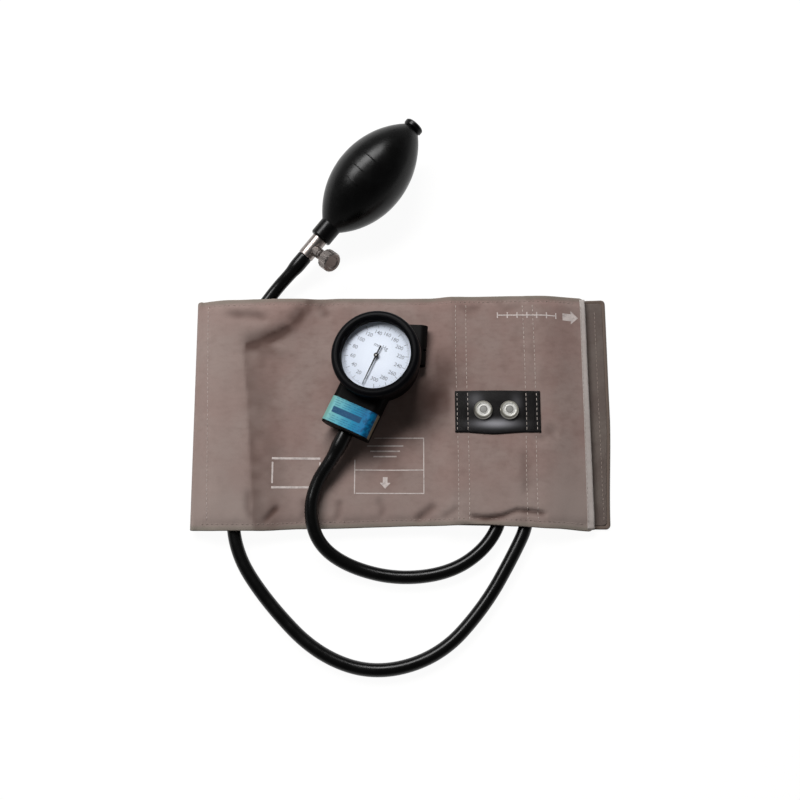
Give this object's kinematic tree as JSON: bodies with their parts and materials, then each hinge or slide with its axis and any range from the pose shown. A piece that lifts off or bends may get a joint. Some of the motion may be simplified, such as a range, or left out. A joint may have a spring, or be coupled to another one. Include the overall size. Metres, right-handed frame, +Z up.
{
  "type": "aneroid sphygmomanometer",
  "caption": "Blood pressure set at rest: a folded cloth arm cuff with a bladder, a dial gauge with a spring clip, an inflation bulb with a release valve, and their rubber hoses.",
  "frame": {"origin": "centre of the folded cuff's underside, on the surface it lies on", "axes": "+Z up, +X along the folded cuff away from its fold, +Y across the cuff towards the bulb"},
  "size_m": [0.2517, 0.341, 0.0456],
  "materials": {
    "cover_cloth": "twill, matt",
    "lining_cloth": "plain weave, matt",
    "binding_cloth": "tape, matt",
    "bladder_rubber": "smooth",
    "hose_rubber": "smooth, semi-gloss",
    "bulb_rubber": "smooth, semi-gloss",
    "port_plastic": "moulded",
    "patch_leather": "grained",
    "nickel": "nickel plated",
    "case_black": "moulded, satin",
    "bezel_black": "moulded",
    "clip_black": "black coated spring steel",
    "screw_steel": "turned",
    "crystal_clear": "clear",
    "dial_white": "matt enamel",
    "pointer_black": "matt",
    "brass_plate": "satin",
    "bronze_sheet": "pressed sheet",
    "seal_foil": "printed foil",
    "ball_steel": "ground",
    "filter_mesh": "woven wire",
    "seal_rubber": "moulded"
  },
  "bodies": {
    "cuff_and_cases": {"outer_cover": "cover_cloth", "inner_lining": "lining_cloth", "bladder": "bladder_rubber", "gauge_port": "port_plastic", "bulb_port": "port_plastic", "edge_binding": "binding_cloth", "stud_patch": "patch_leather", "stud_washers": "nickel", "stud_caps": "nickel", "stud_backs": "nickel", "keyhole_strip": "patch_leather", "gauge_case": "case_black", "gauge_seal": "seal_foil", "gauge_nipple": "nickel", "gauge_bezel": "bezel_black", "crystal_gasket": "seal_rubber", "dial_ring": "case_black", "gauge_crystal": "crystal_clear", "dial_plate": "dial_white", "capsule_lower": "bronze_sheet", "capsule_upper": "bronze_sheet", "capsule_stem": "brass_plate", "bottom_plate": "brass_plate", "top_plate": "brass_plate", "lower_spacers": "brass_plate", "upper_spacers": "brass_plate", "movement_screws": "screw_steel", "hairspring": "bronze_sheet", "clip_screw": "screw_steel", "clip_washer": "screw_steel", "bulb_shell": "bulb_rubber", "intake_valve_body": "nickel", "intake_retainer": "nickel", "intake_filter": "filter_mesh", "release_valve_body": "nickel", "gland_nut": "nickel", "outlet_seat": "nickel", "outlet_spring": "screw_steel", "gauge_hose": "hose_rubber", "bulb_hose": "hose_rubber"},
    "pointer_hand": {"pointer": "pointer_black", "pinion_arbor": "screw_steel"},
    "sector": {"sector_gear": "brass_plate"},
    "rocker": {"rocking_shaft": "screw_steel"},
    "pin": {"push_pin": "screw_steel"},
    "clip": {"gauge_clip": "clip_black"},
    "ball": {"intake_ball": "ball_steel"},
    "disc": {"outlet_disc": "seal_rubber"},
    "ring": {"stem_ring": "seal_rubber"},
    "release": {"release_stem": "nickel", "release_knob": "nickel"}
  },
  "joints": [
    {"name": "pointer_turn", "type": "hinge", "parent": "cuff_and_cases", "child": "pointer_hand", "pos_m": [-0.01381, 0.0278, 0.03425], "axis": [0.1406, -0.0098, -0.99], "range_deg": [0, 340], "stiffness_Nm_per_rad": 0.00002, "springref_deg": -28.65, "deforming": ["hairspring"]},
    {"name": "sector_turn", "type": "hinge", "parent": "cuff_and_cases", "child": "sector", "pos_m": [-0.02186, 0.03617, 0.03], "axis": [-0.1406, 0.0098, 0.99], "range_deg": [0, 48.59]},
    {"name": "rocker_turn", "type": "hinge", "parent": "cuff_and_cases", "child": "rocker", "pos_m": [-0.01141, 0.03043, 0.02649], "axis": [-0.8933, 0.4299, -0.1311], "range_deg": [0, 31.85]},
    {"name": "push_pin_lift", "type": "slide", "parent": "cuff_and_cases", "child": "pin", "axis": [-0.1406, 0.0098, 0.99], "range_m": [0, 0.00167], "deforming": ["capsule_upper"]},
    {"name": "clip_swivel", "type": "hinge", "parent": "cuff_and_cases", "child": "clip", "pos_m": [-0.00461, 0.04096, 0.01472], "axis": [-0.1406, 0.0098, 0.99], "range_deg": [-15, 15]},
    {"name": "intake_ball_lift", "type": "slide", "parent": "cuff_and_cases", "child": "ball", "axis": [0.6365, 0.7586, 0.1392], "range_m": [0, 0.0008]},
    {"name": "outlet_disc_open", "type": "slide", "parent": "cuff_and_cases", "child": "disc", "axis": [-0.6365, -0.7586, -0.1392], "range_m": [0, 0.0009], "stiffness_N_per_m": 60, "springref_m": -0.002, "deforming": ["outlet_spring"]},
    {"name": "release_travel", "type": "slide", "parent": "cuff_and_cases", "child": "ring", "axis": [0.6419, -0.6211, 0.4496], "range_m": [0, 0.00126]},
    {"name": "release_turn", "type": "hinge", "parent": "ring", "child": "release", "pos_m": [-0.04887, 0.09702, 0.01938], "axis": [0.6419, -0.6211, 0.4496], "range_deg": [0, 900]}
  ],
  "couplings": [
    {"joint": "sector_turn", "follows": "pointer_turn", "ratio": 0.14286},
    {"joint": "rocker_turn", "follows": "pointer_turn", "ratio": 0.093611},
    {"joint": "push_pin_lift", "follows": "pointer_turn", "m_per_rad": 0.00028083},
    {"joint": "release_travel", "follows": "release_turn", "m_per_rad": 0.000079577}
  ]
}
